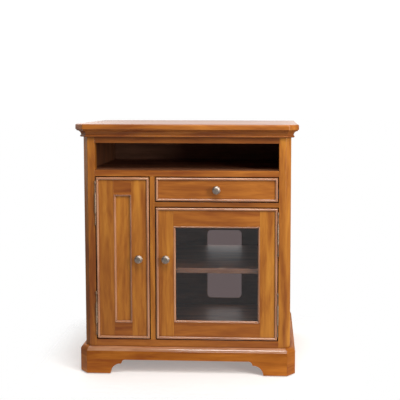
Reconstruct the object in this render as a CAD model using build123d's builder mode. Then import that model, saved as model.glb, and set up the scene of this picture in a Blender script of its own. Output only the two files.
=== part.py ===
from build123d import *
from math import sqrt
import os

os.makedirs("parts", exist_ok=True)

# A free-standing wooden media cabinet with clipped front corners: an open console bay over a
# panel door, a drawer and a glazed door, on a plinth with bracket feet.
# +X is right, +Y is back and +Z is up. The origin is on the floor at the footprint's centre.

# --- driving dimensions, millimetres ---
top_width = 854.0
overall_depth = 510.0
overall_height = 967.5
top_thickness = 21.0
top_overhang = 28.5
top_edge_radius = 6.0
top_lower_radius = 2.5
corner_leg = 20.0

glide_height = 3.0
glide_radius = 12.0
glide_edge_radius = 1.0
glide_nail_radius = 1.5
glide_nail_length = 20.0
plinth_height = 102.0
plinth_proud = 20.0
plinth_moulding_height = 13.0
plinth_moulding_step = 1.5
plinth_moulding_bulge = 4.0
arch_height = 54.0
arch_cusp_height = 38.5
arch_front_half_width = 296.0
arch_large_run = 42.0
arch_small_run = 16.0
side_foot_width = 104.0
carcass_foot_clearance = 3.0

crown_height = 28.5
crown_projection = 24.0
crown_lip = 4.0
crown_neck = 8.0
crown_bead_diameter = 7.5
crown_fillet = 1.5

frame_thickness = 20.0
post_width = 46.5
post_depth = 30.0
top_rail_height = 51.5
bay_height = 104.5
bay_rail_height = 23.0
drawer_opening_height = 98.0
drawer_rail_height = 18.0
bottom_rail_reveal = 26.5
panel_opening_width = 211.0
centre_stile_width = 19.0

side_thickness = 18.0
board_thickness = 18.0
back_thickness = 6.0
back_rebate = 9.0
plinth_back_thickness = 18.0
corner_block_size = 45.0
cable_opening_width = 155.0
cable_opening_height = 311.0
cable_opening_above_floor = 29.5
cable_opening_radius = 18.0

media_shelf_thickness = 20.0
media_shelf_above_floor = 272.5
media_shelf_setback = 45.0
disc_shelf_thickness = 18.0
disc_shelf_setback = 48.0
shelf_clearance = 1.0
shelf_pin_radius = 2.5
shelf_pin_length = 16.0
shelf_pin_setback = 40.0

door_thickness = 20.0
door_recess = 2.0
door_stile_width = 68.0
panel_door_top_rail_height = 67.0
panel_door_bottom_rail_height = 62.0
glass_door_top_rail_height = 72.0
glass_door_bottom_rail_height = 65.0
groove_depth = 8.0
panel_thickness = 8.0
panel_setback = 7.0
panel_clearance = 1.0
bead_width = 10.0
bead_height = 6.0
moulding_width = 7.0
moulding_proud = 1.0
glass_thickness = 4.0
glass_setback = 8.0
glass_clearance = 1.5
glass_rebate = 8.0
glass_stop_setback = 0.5
mitre_clearance = 0.1

hinge_height = 76.0
hinge_inset = 100.0
leaf_thickness = 1.6
leaf_clearance = 0.3
leaf_width = 22.0
knuckle_radius = 3.2
knuckle_count = 5
knuckle_clearance = 0.1
pin_radius = 1.2
pin_proud = 3.6
finial_length = 5.0
barrel_clearance = 0.4
running_clearance = 0.05

screw_radius = 1.6
screw_head_radius = 3.6
screw_length = 14.0
screw_row_offset = 14.0
screw_spacing = 26.0
screw_slot_width = 0.9
screw_slot_depth = 0.7
back_screw_count = 7

knob_radius = 16.0
knob_projection = 27.0
knob_foot_radius = 9.0
knob_foot_height = 1.5
knob_hollow_radius = 6.1
knob_hollow_height = 5.4
knob_neck_radius = 5.5
knob_neck_height = 9.2
knob_shoulder_radius = 11.5
knob_shoulder_height = 13.5
knob_rim_height = 18.4
knob_cap_radius = 12.8
knob_cap_height = 23.8
knob_screw_radius = 2.0
knob_screw_head_radius = 4.0
knob_screw_head_height = 2.4
knob_screw_engagement = 12.0
knob_screw_tip_clearance = 1.0
door_knob_height = 450.0

catch_width = 14.0
catch_depth = 15.0
catch_height = 46.0
catch_drop = 150.0
strike_thickness = 1.2
strike_width = 12.0
catch_gap = 0.3

drawer_side_thickness = 12.0
drawer_side_height = 70.0
drawer_box_length = 400.0
drawer_side_lift = 9.0
drawer_bottom_thickness = 6.0
drawer_bottom_lift = 8.0
drawer_groove_depth = 6.0
runner_depth = 12.7
runner_length = 400.0
runner_height = 35.0
runner_sheet = 1.2
runner_play = 0.7
runner_reach = 9.0
runner_lift = 18.0

# --- places worked out from the driving dimensions ---
half_width = top_width / 2
carcass_half = half_width - top_overhang
front_y = top_overhang - overall_depth / 2
back_y = overall_depth / 2
frame_back_y = front_y + frame_thickness
post_back_y = front_y + post_depth
panel_back_y = back_y - back_thickness
side_inner_x = carcass_half - side_thickness
post_inner_x = carcass_half - post_width

door_gap = 2 * leaf_thickness + leaf_clearance
slab_bottom = overall_height - top_thickness
plinth_top = glide_height + plinth_height
arch_top = glide_height + arch_height
carcass_bottom = arch_top + carcass_foot_clearance
floor_top = plinth_top + bottom_rail_reveal
floor_bottom = floor_top - board_thickness
top_rail_bottom = slab_bottom - top_rail_height
bay_floor_top = top_rail_bottom - bay_height
bay_floor_bottom = bay_floor_top - board_thickness
bay_rail_bottom = bay_floor_top - bay_rail_height
drawer_rail_top = bay_rail_bottom - drawer_opening_height
drawer_rail_bottom = drawer_rail_top - drawer_rail_height

stile_left_x = panel_opening_width - post_inner_x
stile_right_x = stile_left_x + centre_stile_width
partition_left_x = stile_right_x - board_thickness

door_front_y = front_y + door_recess
door_back_y = door_front_y + door_thickness
panel_door_left = door_gap - post_inner_x
panel_door_right = stile_left_x - door_gap
panel_door_top = bay_rail_bottom - door_gap
glass_door_left = stile_right_x + door_gap
glass_door_right = post_inner_x - door_gap
glass_door_top = drawer_rail_bottom - door_gap
door_bottom = floor_top + door_gap
drawer_bottom_z = drawer_rail_top + door_gap

pin_x = post_inner_x - door_gap / 2
pin_y = front_y - pin_proud
knuckle_length = hinge_height / knuckle_count
panel_hinge_z = (door_bottom + hinge_inset, panel_door_top - hinge_inset)
glass_hinge_z = (door_bottom + hinge_inset, glass_door_top - hinge_inset)


# --- shared shapes ---
def bar(x_span, y_span, z_span, mode=Mode.ADD):
    """A square-edged bar between two planes along each axis."""
    spans = (x_span, y_span, z_span)
    with Locations([tuple(sum(span) / 2 for span in spans)]):
        Box(*[max(span) - min(span) for span in spans], mode=mode)


def outline(proud):
    """The plan of the carcass, grown outward, from the back left corner round the front."""
    leg = corner_leg + (2 - sqrt(2)) * proud
    x = carcass_half + proud
    y = front_y - proud
    return [(-x, back_y), (-x, y + leg), (-x + leg, y), (x - leg, y), (x, y + leg), (x, back_y)]


def moulded_run(index, projection, bottom, height, section):
    """One mitred length of a moulding that follows a side of the carcass's plan."""
    inner = [Vector(*point) for point in outline(0)[index:index + 2]]
    outer = [Vector(*point) for point in outline(projection)[index:index + 2]]
    along = (inner[1] - inner[0]).normalized()
    for end, step in ((0, along * mitre_clearance), (1, along * -mitre_clearance)):
        inner[end] += step
        outer[end] += step
    outward = along.cross(Vector(0, 0, -1)).normalized() * -1
    start = inner[1] + along * projection + Vector(0, 0, bottom)
    mitred = [inner[0], inner[1], outer[1], outer[0]]
    with BuildPart() as run:
        with BuildSketch(Plane(origin=start, x_dir=outward, z_dir=along * -1)):
            add(section)
            make_face()
        extrude(amount=(inner[1] - inner[0]).length + 2 * projection)
        with BuildSketch(Plane.XY.offset(bottom)):
            Polygon(*[(point.X, point.Y) for point in mitred], align=None)
        extrude(amount=height, mode=Mode.INTERSECT)
    return run.part


def crown_section():
    """A cove over a bead, hollowed under a square lip."""
    cove_bottom = crown_bead_diameter + crown_fillet
    cove_radius = crown_height - crown_lip - cove_bottom
    neck = crown_projection - cove_radius
    bead_middle = crown_neck + crown_bead_diameter / 2
    turn = cove_radius / sqrt(2)
    with BuildLine() as section:
        Polyline((0, 0), (crown_neck, 0))
        ThreePointArc(
            (crown_neck, 0), (bead_middle, crown_bead_diameter / 2), (crown_neck, crown_bead_diameter)
        )
        Polyline((crown_neck, crown_bead_diameter), (neck, crown_bead_diameter), (neck, cove_bottom))
        ThreePointArc(
            (neck, cove_bottom),
            (crown_projection - turn, cove_bottom + turn),
            (crown_projection, cove_bottom + cove_radius),
        )
        Polyline(
            (crown_projection, cove_bottom + cove_radius), (crown_projection, crown_height),
            (0, crown_height), (0, 0),
        )
    return section.line


def plinth_section():
    """A flat board with a rounded, sloping top that dies into the carcass."""
    moulding_foot = plinth_height - plinth_moulding_height
    shoulder = plinth_proud - plinth_moulding_step
    chord = Vector(-shoulder, plinth_moulding_height)
    bulge = Vector(chord.Y, -chord.X).normalized() * plinth_moulding_bulge
    middle = Vector(shoulder, moulding_foot) + chord * 0.5 + bulge
    with BuildLine() as section:
        Polyline(
            (0, plinth_height), (0, 0), (plinth_proud, 0), (plinth_proud, moulding_foot),
            (shoulder, moulding_foot),
        )
        ThreePointArc((shoulder, moulding_foot), (middle.X, middle.Y), (0, plinth_height))
    return section.line


def arch_line(half_width_low):
    """Half of the opening between two bracket feet: a flat head, a small round and a large round."""
    cusp_x = half_width_low - arch_large_run
    flat_x = cusp_x - arch_small_run
    rise = arch_height - arch_cusp_height
    half = 1 / sqrt(2)
    with BuildLine() as half_arch:
        Polyline((0, 0), (0, arch_height), (flat_x, arch_height))
        ThreePointArc(
            (flat_x, arch_height),
            (flat_x + arch_small_run * half, arch_cusp_height + rise * half),
            (cusp_x, arch_cusp_height),
        )
        ThreePointArc(
            (cusp_x, arch_cusp_height),
            (cusp_x + arch_large_run * half, arch_cusp_height * half),
            (half_width_low, 0),
        )
        Line((half_width_low, 0), (0, 0))
    return half_arch.line


def mitred_strip(length, width, height):
    """A round-topped strip along X with its outer edge on Y = 0, mitred inward at both ends."""
    far = length / 2 - mitre_clearance
    near = far - width
    shoulder = height - width / 2 if height > width / 2 else height / 3
    with BuildPart() as strip:
        with BuildSketch(Plane.YZ.offset(-length / 2)):
            with BuildLine():
                Polyline((width, shoulder), (width, 0), (0, 0), (0, shoulder))
                ThreePointArc((0, shoulder), (width / 2, height), (width, shoulder))
            make_face()
        extrude(amount=length)
        with BuildSketch(Plane.XY):
            Polygon((-far, 0), (far, 0), (near, width), (-near, width), align=None)
        extrude(amount=height, mode=Mode.INTERSECT)
    return strip.part


def strip_frame(x_span, z_span, y, width, height):
    """Four mitred strips round a rectangle, standing forward from the plane at y."""
    wide = mitred_strip(x_span[1] - x_span[0], width, height)
    tall = mitred_strip(z_span[1] - z_span[0], width, height)
    x, z = sum(x_span) / 2, sum(z_span) / 2
    add(wide.moved(Location((x, y, z_span[0]), (90, 0, 0))))
    add(wide.moved(Location((x, y, z_span[1]), (0, 180, 0)) * Location((0, 0, 0), (90, 0, 0))))
    add(tall.moved(Location((x_span[1], y, z), (0, -90, 0)) * Location((0, 0, 0), (90, 0, 0))))
    add(tall.moved(Location((x_span[0], y, z), (0, 90, 0)) * Location((0, 0, 0), (90, 0, 0))))


def screw_blank(play):
    """A countersunk wood screw with its head's face on Z = 0 and its point downward."""
    head = screw_head_radius + play
    shank = screw_radius + play
    with BuildPart() as blank:
        with BuildSketch(Plane.XZ):
            Polygon(
                (0, 0), (head, 0), (shank, -leaf_thickness - play), (shank, shank - screw_length),
                (0, -screw_length), align=None,
            )
        revolve(axis=Axis.Z)
    return blank.part


def wood_screw():
    """The screw itself, slotted."""
    with BuildPart() as screw:
        add(screw_blank(0))
        bar(
            (-screw_head_radius, screw_head_radius), (-screw_slot_width / 2, screw_slot_width / 2),
            (-screw_slot_depth, 0), mode=Mode.SUBTRACT,
        )
    return screw.part


def hinge_screw_places(side, face_x, centres, inward):
    """Where the screws of a row of hinge leaves go, their heads facing along inward."""
    places = []
    for centre in centres:
        for step in (-1, 0, 1):
            spot = (face_x, pin_y + screw_row_offset, centre + step * screw_spacing)
            places.append(Location(spot, (0, 90 * inward * -side, 0)))
    return places


def hinge_leaf(side, wall_x, gap_x, knuckles):
    """A flat leaf centred on Z = 0, with its own knuckles on the pin's axis."""
    plate = (side * wall_x, side * gap_x)
    with BuildPart() as leaf:
        plate_front = pin_y + knuckle_radius + barrel_clearance
        bar(plate, (plate_front, pin_y + leaf_width), (-hinge_height / 2, hinge_height / 2))
        for index in knuckles:
            low = index * knuckle_length - hinge_height / 2 + knuckle_clearance
            high = low + knuckle_length - 2 * knuckle_clearance
            bar(plate, (pin_y, plate_front), (low, high))
            with Locations((side * pin_x, pin_y, (low + high) / 2)):
                Cylinder(knuckle_radius, high - low)
        with Locations((side * pin_x, pin_y, 0)):
            Cylinder(pin_radius + running_clearance, hinge_height, mode=Mode.SUBTRACT)
    return leaf.part


def turned_knob():
    """A mushroom knob standing on Z = 0 along +Z, bored for its screw."""
    with BuildPart() as knob:
        with BuildSketch(Plane.XZ):
            with BuildLine():
                Polyline((0, 0), (knob_foot_radius, 0), (knob_foot_radius, knob_foot_height))
                ThreePointArc(
                    (knob_foot_radius, knob_foot_height),
                    (knob_hollow_radius, knob_hollow_height),
                    (knob_neck_radius, knob_neck_height),
                )
                Spline(
                    (knob_neck_radius, knob_neck_height),
                    (knob_shoulder_radius, knob_shoulder_height),
                    (knob_radius, knob_rim_height),
                    (knob_cap_radius, knob_cap_height),
                    (0, knob_projection),
                    tangents=[(0, 1), (-1, 0)],
                )
                Line((0, knob_projection), (0, 0))
            make_face()
        revolve(axis=Axis.Z)
        with Locations((0, 0, knob_screw_engagement / 2)):
            Cylinder(knob_screw_radius + running_clearance, knob_screw_engagement, mode=Mode.SUBTRACT)
    return knob.part


def knob_screw():
    """The machine screw of a knob: its shank ends inside the knob, its head is behind the wood."""
    reach = door_thickness + knob_screw_engagement - knob_screw_tip_clearance
    with BuildPart() as screw:
        with Locations((0, 0, reach / 2 - door_thickness)):
            Cylinder(knob_screw_radius, reach)
        with Locations((0, 0, -door_thickness - knob_screw_head_height / 2)):
            Cylinder(knob_screw_head_radius, knob_screw_head_height)
    return screw.part


def knob_hole(x, z):
    """The hole for a knob's screw through a door or drawer front."""
    with Locations(Location((x, (door_front_y + door_back_y) / 2, z), (90, 0, 0))):
        Cylinder(knob_screw_radius + running_clearance, door_thickness * 2, mode=Mode.SUBTRACT)


def keep(piece, name):
    """Label a finished sub-part and write it out."""
    piece.part.label = name
    export_step(piece.part, f"parts/{name}.step")


hinge_rows = ((-1, panel_hinge_z), (1, glass_hinge_z))

# --- top and crown ---
with BuildPart() as top_panel:
    with BuildSketch(Plane.XY.offset(slab_bottom)):
        Polygon(*outline(top_overhang), align=None)
    extrude(amount=top_thickness)
    upper_face = top_panel.faces().sort_by(Axis.Z)[-1]
    fillet(upper_face.edges().sort_by(Axis.Y)[:-1], radius=top_edge_radius)
    lower_face = top_panel.faces().sort_by(Axis.Z)[0]
    fillet(lower_face.edges().sort_by(Axis.Y)[:-1], radius=top_lower_radius)
keep(top_panel, "top_panel")

with BuildPart() as crown_moulding:
    for index in range(5):
        add(moulded_run(index, crown_projection, slab_bottom - crown_height, crown_height, crown_section()))
keep(crown_moulding, "crown_moulding")

# --- face frame ---
with BuildPart() as corner_posts:
    with BuildSketch(Plane.XY.offset(carcass_bottom)):
        Polygon(
            (post_inner_x, front_y), (carcass_half - corner_leg, front_y),
            (carcass_half, front_y + corner_leg), (carcass_half, post_back_y), (post_inner_x, post_back_y),
            align=None,
        )
        mirror(about=Plane.YZ)
    extrude(amount=slab_bottom - carcass_bottom)
    for side, centres in hinge_rows:
        with Locations(*hinge_screw_places(side, side * (post_inner_x - leaf_thickness), centres, 1)):
            add(screw_blank(running_clearance), mode=Mode.SUBTRACT)
keep(corner_posts, "corner_posts")

rails = {
    "top_rail": ((-post_inner_x, post_inner_x), (top_rail_bottom, slab_bottom)),
    "bay_rail": ((-post_inner_x, post_inner_x), (bay_rail_bottom, bay_floor_top)),
    "bottom_rail": ((-post_inner_x, post_inner_x), (carcass_bottom, floor_top)),
    "drawer_rail": ((stile_right_x, post_inner_x), (drawer_rail_bottom, drawer_rail_top)),
    "centre_stile": ((stile_left_x, stile_right_x), (floor_top, bay_rail_bottom)),
}
for name, (x_span, z_span) in rails.items():
    with BuildPart() as rail:
        bar(x_span, (front_y, frame_back_y), z_span)
    keep(rail, name)

# --- shelves and the pins that carry them ---
disc_shelf_step = (bay_floor_bottom - floor_top - 2 * disc_shelf_thickness) / 3 + disc_shelf_thickness
disc_shelf_bottoms = [floor_top + disc_shelf_step * count - disc_shelf_thickness for count in (1, 2)]
media_shelf_top = floor_top + media_shelf_above_floor
media_shelf_bottom = media_shelf_top - media_shelf_thickness
disc_shelf_front = front_y + disc_shelf_setback
media_shelf_front = front_y + media_shelf_setback
disc_walls = (-side_inner_x, partition_left_x)
media_walls = (stile_right_x, side_inner_x)


def pin_places(walls, front, bottoms):
    """Two pins in each wall under each shelf, lying along X."""
    return [
        Location((x, y, bottom - shelf_pin_radius), (0, 90, 0))
        for bottom in bottoms
        for x in walls
        for y in (front + shelf_pin_setback, panel_back_y - shelf_pin_setback)
    ]


all_pins = pin_places(disc_walls, disc_shelf_front, disc_shelf_bottoms)
all_pins += pin_places(media_walls, media_shelf_front, [media_shelf_bottom])


def drill_pin_holes():
    """The blind holes that the shelf pins push into."""
    with Locations(*all_pins):
        Cylinder(shelf_pin_radius + running_clearance, shelf_pin_length, mode=Mode.SUBTRACT)


with BuildPart() as disc_shelves:
    for bottom in disc_shelf_bottoms:
        bar(
            (disc_walls[0] + shelf_clearance, disc_walls[1] - shelf_clearance),
            (disc_shelf_front, panel_back_y - shelf_clearance), (bottom, bottom + disc_shelf_thickness),
        )
keep(disc_shelves, "disc_shelves")

with BuildPart() as media_shelf:
    bar(
        (media_walls[0] + shelf_clearance, media_walls[1] - shelf_clearance),
        (media_shelf_front, panel_back_y - shelf_clearance), (media_shelf_bottom, media_shelf_top),
    )
keep(media_shelf, "media_shelf")

with BuildPart() as shelf_pins:
    with Locations(*all_pins):
        Cylinder(shelf_pin_radius, shelf_pin_length)
keep(shelf_pins, "shelf_pins")

# --- carcass boards ---
back_x = carcass_half - back_rebate
back_screw_low = floor_bottom + board_thickness / 2
back_screw_step = (slab_bottom - floor_bottom - board_thickness) / (back_screw_count - 1)
back_screw_z = [back_screw_low + back_screw_step * count for count in range(back_screw_count)]
back_screws = [
    Location((side * (back_x - back_rebate / 2), back_y, z), (-90, 0, 0))
    for side in (-1, 1)
    for z in back_screw_z
]

for side, name in ((-1, "left_side_panel"), (1, "right_side_panel")):
    with BuildPart() as side_panel:
        with BuildSketch(Plane.XY.offset(carcass_bottom)):
            Polygon(
                (side * carcass_half, post_back_y), (side * carcass_half, back_y),
                (side * back_x, back_y), (side * back_x, panel_back_y),
                (side * side_inner_x, panel_back_y), (side * side_inner_x, post_back_y), align=None,
            )
        extrude(amount=slab_bottom - carcass_bottom)
        drill_pin_holes()
        with Locations(*back_screws):
            add(screw_blank(running_clearance), mode=Mode.SUBTRACT)
    keep(side_panel, name)

for name, low in (("cabinet_floor", floor_bottom), ("bay_floor", bay_floor_bottom)):
    with BuildPart() as board:
        with BuildSketch(Plane.XY.offset(low)):
            Polygon(
                (-post_inner_x, frame_back_y), (post_inner_x, frame_back_y), (post_inner_x, post_back_y),
                (side_inner_x, post_back_y), (side_inner_x, panel_back_y), (-side_inner_x, panel_back_y),
                (-side_inner_x, post_back_y), (-post_inner_x, post_back_y), align=None,
            )
        extrude(amount=board_thickness)
    keep(board, name)

catch_top = panel_door_top - catch_drop
catch_z_span = (catch_top - catch_height, catch_top)
catch_front = max(door_back_y + strike_thickness + catch_gap, frame_back_y)

with BuildPart() as partition:
    bar((partition_left_x, stile_right_x), (frame_back_y, panel_back_y), (floor_top, bay_floor_bottom))
    drill_pin_holes()
keep(partition, "partition")

with BuildPart() as door_catches:
    for x_span in (
        (partition_left_x - catch_width, partition_left_x), (stile_right_x, stile_right_x + catch_width)
    ):
        bar(x_span, (catch_front, catch_front + catch_depth), catch_z_span)
keep(door_catches, "door_catches")

cable_opening_x = (stile_right_x + post_inner_x) / 2
cable_opening_z = floor_top + cable_opening_above_floor + cable_opening_height / 2
with BuildPart() as back_panel:
    bar((-back_x, back_x), (panel_back_y, back_y), (floor_bottom, slab_bottom))
    with BuildSketch(Plane.XZ.offset(-back_y)):
        with Locations((cable_opening_x, cable_opening_z)):
            RectangleRounded(cable_opening_width, cable_opening_height, cable_opening_radius)
    extrude(amount=back_thickness, mode=Mode.SUBTRACT)
    with Locations(*back_screws):
        add(screw_blank(running_clearance), mode=Mode.SUBTRACT)
keep(back_panel, "back_panel")

# --- plinth, its blocks and glides ---
side_arch_half = (back_y - (front_y - plinth_proud)) / 2 - side_foot_width
side_arch_y = (back_y + front_y - plinth_proud) / 2


def plinth_run(index):
    """One mitred board of the plinth."""
    return moulded_run(index, plinth_proud, glide_height, plinth_height, plinth_section())


with BuildPart() as plinth_front:
    add(plinth_run(2))
    with BuildSketch(Plane.XZ.offset(-front_y) * Location((0, glide_height, 0))):
        add(arch_line(arch_front_half_width))
        make_face()
        mirror(about=Plane.YZ)
    extrude(amount=plinth_proud, mode=Mode.SUBTRACT)
keep(plinth_front, "plinth_front")

with BuildPart() as plinth_corners:
    add(plinth_run(1))
    add(plinth_run(3))
keep(plinth_corners, "plinth_corners")

with BuildPart() as plinth_sides:
    add(plinth_run(0))
    add(plinth_run(4))
    arch_plane = Plane(origin=(0, side_arch_y, glide_height), x_dir=(0, 1, 0), z_dir=(1, 0, 0))
    with BuildSketch(arch_plane):
        add(arch_line(side_arch_half))
        make_face()
        mirror(about=Plane.YZ)
    extrude(amount=half_width, both=True, mode=Mode.SUBTRACT)
keep(plinth_sides, "plinth_sides")

plinth_back_front_y = back_y - plinth_back_thickness
with BuildPart() as plinth_back:
    bar((-carcass_half, carcass_half), (plinth_back_front_y, back_y), (glide_height, carcass_bottom))
    bar((-side_inner_x, side_inner_x), (plinth_back_front_y, back_y), (carcass_bottom, floor_bottom))
    with BuildSketch(Plane.XZ.offset(-back_y) * Location((0, glide_height, 0))):
        add(arch_line(arch_front_half_width))
        make_face()
        mirror(about=Plane.YZ)
    extrude(amount=plinth_back_thickness, mode=Mode.SUBTRACT)
keep(plinth_back, "plinth_back")

block_x = side_inner_x - corner_block_size / 2
block_y = (post_back_y + corner_block_size / 2, plinth_back_front_y - corner_block_size / 2)
block_centres = [(side * block_x, y) for side in (-1, 1) for y in block_y]
with BuildPart() as corner_blocks:
    with BuildSketch(Plane.XY.offset(glide_height)):
        with Locations(*block_centres):
            Rectangle(corner_block_size, corner_block_size)
    extrude(amount=floor_bottom - glide_height)
    with Locations(*[(x, y, glide_height + glide_nail_length / 2) for x, y in block_centres]):
        Cylinder(glide_nail_radius + running_clearance, glide_nail_length, mode=Mode.SUBTRACT)
keep(corner_blocks, "corner_blocks")

with BuildPart() as floor_glides:
    with Locations(*[(x, y, glide_height / 2) for x, y in block_centres]):
        Cylinder(glide_radius, glide_height)
    fillet(floor_glides.edges().filter_by(GeomType.CIRCLE).group_by(Axis.Z)[0], radius=glide_edge_radius)
    with Locations(*[(x, y, glide_height + glide_nail_length / 2) for x, y in block_centres]):
        Cylinder(glide_nail_radius, glide_nail_length)
keep(floor_glides, "floor_glides")

# --- hinges: leaves, pins and screws ---
frame_knuckles = range(0, knuckle_count, 2)
door_knuckles = range(1, knuckle_count, 2)
frame_leaf_x = (post_inner_x, post_inner_x - leaf_thickness)
door_leaf_x = (glass_door_right, glass_door_right + leaf_thickness)

with BuildPart() as hinge_frame_leaves:
    for side, centres in hinge_rows:
        leaf = hinge_leaf(side, *frame_leaf_x, frame_knuckles)
        with Locations(*[(0, 0, centre) for centre in centres]):
            add(leaf)
        with Locations(*hinge_screw_places(side, side * frame_leaf_x[1], centres, 1)):
            add(screw_blank(running_clearance), mode=Mode.SUBTRACT)
keep(hinge_frame_leaves, "hinge_frame_leaves")

with BuildPart() as hinge_pin:
    with BuildSketch(Plane.XZ):
        tip = hinge_height / 2 + finial_length
        with BuildLine():
            Polyline(
                (0, -tip), (pin_radius, -tip), (knuckle_radius, -tip + finial_length / 2),
                (knuckle_radius, -hinge_height / 2), (pin_radius, -hinge_height / 2),
                (pin_radius, hinge_height / 2), (knuckle_radius, hinge_height / 2),
                (knuckle_radius, tip - finial_length / 2), (pin_radius, tip), (0, tip), close=True,
            )
        make_face()
    revolve(axis=Axis.Z)

with BuildPart() as hinge_pins:
    for side, centres in hinge_rows:
        with Locations(*[(side * pin_x, pin_y, centre) for centre in centres]):
            add(hinge_pin.part)
keep(hinge_pins, "hinge_pins")

with BuildPart() as carcass_screws:
    for side, centres in hinge_rows:
        with Locations(*hinge_screw_places(side, side * frame_leaf_x[1], centres, 1)):
            add(wood_screw())
    with Locations(*back_screws):
        add(wood_screw())
keep(carcass_screws, "carcass_screws")

# --- the two doors ---
doors = {
    "panel_door": (
        -1, (panel_door_left, panel_door_right), (door_bottom, panel_door_top),
        panel_door_bottom_rail_height, panel_door_top_rail_height, panel_hinge_z,
    ),
    "glass_door": (
        1, (glass_door_left, glass_door_right), (door_bottom, glass_door_top),
        glass_door_bottom_rail_height, glass_door_top_rail_height, glass_hinge_z,
    ),
}
groove_front = door_front_y + panel_setback
groove_back = groove_front + panel_thickness
glass_front = door_front_y + glass_setback

for door, (side, x_span, z_span, low_rail, high_rail, centres) in doors.items():
    glazed = door == "glass_door"
    light_x = (x_span[0] + door_stile_width, x_span[1] - door_stile_width)
    light_z = (z_span[0] + low_rail, z_span[1] - high_rail)
    # a groove holds the wooden panel; a rebate open to the back holds the glass
    seat_y = (glass_front, door_back_y) if glazed else (groove_front, groove_back)
    seat_depth = glass_rebate if glazed else groove_depth
    seat_x = (light_x[0] - seat_depth, light_x[1] + seat_depth)
    seat_z = (light_z[0] - seat_depth, light_z[1] + seat_depth)
    hinge_edge = side * glass_door_right
    # the knob is midway between the bead's inner edge and the light
    knob_sides = (x_span[0] + bead_width, light_x[0]) if glazed else (light_x[1], x_span[1] - bead_width)
    knob_x = sum(knob_sides) / 2
    hinge_screws = hinge_screw_places(side, hinge_edge + side * leaf_thickness, centres, -1)
    stiles = {
        "hinge_stile": (light_x[1], x_span[1]) if glazed else (x_span[0], light_x[0]),
        "knob_stile": (x_span[0], light_x[0]) if glazed else (light_x[1], x_span[1]),
    }
    for name, stile_x in stiles.items():
        with BuildPart() as stile:
            bar(stile_x, (door_front_y, door_back_y), z_span)
            bar(seat_x, seat_y, seat_z, mode=Mode.SUBTRACT)
            if name == "hinge_stile":
                with Locations(*hinge_screws):
                    add(screw_blank(running_clearance), mode=Mode.SUBTRACT)
            else:
                knob_hole(knob_x, door_knob_height)
        keep(stile, f"{door}_{name}")

    for name, rail_z in (("bottom_rail", (z_span[0], light_z[0])), ("top_rail", (light_z[1], z_span[1]))):
        with BuildPart() as rail:
            bar(light_x, (door_front_y, door_back_y), rail_z)
            bar(seat_x, seat_y, seat_z, mode=Mode.SUBTRACT)
        keep(rail, f"{door}_{name}")

    with BuildPart() as infill:
        if glazed:
            slack = glass_clearance
            infill_y = (glass_front, glass_front + glass_thickness)
        else:
            slack = panel_clearance
            infill_y = (groove_front, groove_back)
        bar((seat_x[0] + slack, seat_x[1] - slack), infill_y, (seat_z[0] + slack, seat_z[1] - slack))
    keep(infill, "glass_pane" if glazed else "door_panel")

    with BuildPart() as moulding:
        seat = glass_setback if glazed else panel_setback
        strip_frame(light_x, light_z, door_front_y + seat, moulding_width, seat + moulding_proud)
    keep(moulding, f"{door}_moulding")

    if glazed:
        with BuildPart() as glass_stops:
            stop_back = door_back_y - glass_stop_setback
            stop_height = stop_back - glass_front - glass_thickness
            strip_frame(seat_x, seat_z, stop_back, glass_rebate, stop_height)
        keep(glass_stops, "glass_stops")

    with BuildPart() as bead:
        strip_frame(x_span, z_span, door_front_y, bead_width, bead_height)
        with Locations(*[(side * pin_x, pin_y, centre) for centre in centres]):
            Cylinder(
                knuckle_radius + barrel_clearance, hinge_height + 2 * finial_length + 2 * barrel_clearance,
                mode=Mode.SUBTRACT,
            )
    keep(bead, f"{door}_bead")

    with BuildPart() as door_leaves:
        leaf = hinge_leaf(side, *door_leaf_x, door_knuckles)
        with Locations(*[(0, 0, centre) for centre in centres]):
            add(leaf)
        with Locations(*hinge_screws):
            add(screw_blank(running_clearance), mode=Mode.SUBTRACT)
    keep(door_leaves, f"{door}_hinge_leaves")

    with BuildPart() as door_screws:
        with Locations(*hinge_screws):
            add(wood_screw())
    keep(door_screws, f"{door}_screws")

    with BuildPart() as knob:
        with Locations(Location((knob_x, door_front_y, door_knob_height), (90, 0, 0))):
            add(turned_knob())
            add(knob_screw())
    keep(knob, f"{door}_knob")

    free_edge = x_span[0] if glazed else x_span[1]
    with BuildPart() as strike:
        strike_x = (free_edge, free_edge + side * strike_width)
        bar(strike_x, (door_back_y, door_back_y + strike_thickness), catch_z_span)
    keep(strike, f"{door}_strike_plate")

# --- drawer ---
drawer_x = (glass_door_left, glass_door_right)
drawer_z = (drawer_bottom_z, panel_door_top)
drawer_centre_x = sum(drawer_x) / 2
drawer_centre_z = sum(drawer_z) / 2
box_x = (stile_right_x + runner_depth, post_inner_x - runner_depth)
box_inner_x = (box_x[0] + drawer_side_thickness, box_x[1] - drawer_side_thickness)
box_y = (door_back_y, door_back_y + drawer_box_length)
box_z = (drawer_bottom_z + drawer_side_lift, drawer_bottom_z + drawer_side_lift + drawer_side_height)
bottom_z = (box_z[0] + drawer_bottom_lift, box_z[0] + drawer_bottom_lift + drawer_bottom_thickness)
bottom_x = (box_inner_x[0] - drawer_groove_depth, box_inner_x[1] + drawer_groove_depth)
bottom_y = (box_y[0] - drawer_groove_depth, box_y[1])

with BuildPart() as drawer_front:
    bar(drawer_x, (door_front_y, door_back_y), drawer_z)
    bar(bottom_x, bottom_y, bottom_z, mode=Mode.SUBTRACT)
    knob_hole(drawer_centre_x, drawer_centre_z)
keep(drawer_front, "drawer_front")

with BuildPart() as drawer_bead:
    strip_frame(drawer_x, drawer_z, door_front_y, bead_width, bead_height)
keep(drawer_bead, "drawer_bead")

with BuildPart() as drawer_sides:
    for x_span in ((box_x[0], box_inner_x[0]), (box_inner_x[1], box_x[1])):
        bar(x_span, box_y, box_z)
    bar(bottom_x, bottom_y, bottom_z, mode=Mode.SUBTRACT)
keep(drawer_sides, "drawer_sides")

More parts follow.
